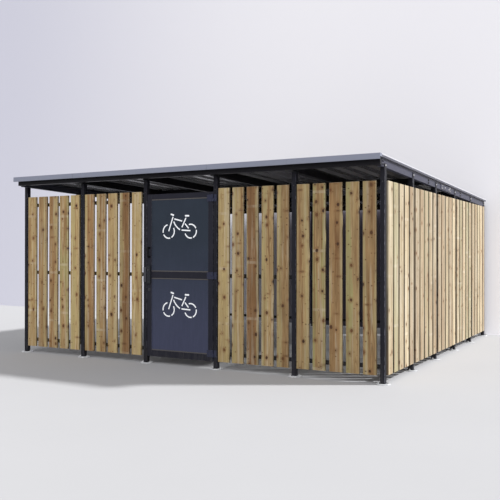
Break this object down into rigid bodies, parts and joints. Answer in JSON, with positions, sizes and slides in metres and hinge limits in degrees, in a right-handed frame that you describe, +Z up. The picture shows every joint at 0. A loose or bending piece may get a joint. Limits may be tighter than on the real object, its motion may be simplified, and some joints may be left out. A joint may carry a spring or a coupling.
{
  "type": "timber-clad bike shelter",
  "caption": "Flat-roofed bike shelter: steel posts, vertical timber boards, a ribbed lean-to roof and one hinged steel door with a bicycle pictogram on each panel.",
  "frame": {"origin": "on the ground under the middle of the outline", "axes": "+X along the front from left to right, +Y from the front towards the back, +Z up"},
  "size_m": [5.15, 5.2832, 2.3442],
  "materials": {
    "post_steel": "anthracite powder coat, satin",
    "beam_steel": "anthracite powder coat, satin",
    "rail_steel": "black powder coat, satin",
    "front_timber": "pressure-treated pine, planed and dry",
    "side_timber": "pressure-treated pine, planed and dry",
    "roof_steel": "coated ribbed sheet, matt",
    "trim_steel": "blue-grey coated sheet, satin",
    "plate_steel": "galvanised, dull",
    "door_steel": "anthracite powder coat, satin",
    "panel_steel": "slate blue-grey powder coat, satin",
    "hinge_steel": "dark blue-black powder coat",
    "fitting_steel": "dark blackened steel"
  },
  "bodies": {
    "shelter": {"front_post_1": "post_steel", "front_post_2": "post_steel", "front_post_3": "post_steel", "front_post_4": "post_steel", "front_post_5": "post_steel", "front_post_6": "post_steel", "side_posts": "post_steel", "back_posts": "post_steel", "base_plates": "plate_steel", "front_boards_1": "front_timber", "front_boards_2": "front_timber", "front_boards_4": "front_timber", "front_boards_5": "front_timber", "right_boards_1": "side_timber", "right_boards_2": "side_timber", "right_boards_3": "side_timber", "right_boards_4": "side_timber", "right_boards_5": "side_timber", "front_rails": "rail_steel", "right_rails": "rail_steel", "back_rails": "rail_steel", "front_beam": "beam_steel", "back_beam": "beam_steel", "side_beams": "beam_steel", "splice_plates": "beam_steel", "inner_rafters": "beam_steel", "purlins": "beam_steel", "roof_sheet": "roof_steel", "front_trim": "trim_steel", "side_trims": "trim_steel", "back_trim": "trim_steel", "post_hinge_leaves": "hinge_steel", "door_strike": "fitting_steel"},
    "door": {"door_stiles": "door_steel", "door_rails": "door_steel", "door_panel_lower": "panel_steel", "door_panel_upper": "panel_steel", "door_hinge_leaves": "hinge_steel", "door_lock": "fitting_steel", "door_handle": "fitting_steel"}
  },
  "joints": [
    {"name": "door_hinge", "type": "hinge", "parent": "shelter", "child": "door", "pos_m": [0.472, -2.46727, 1.078], "axis": [0, 0, 1], "range_deg": [0, 110]}
  ]
}
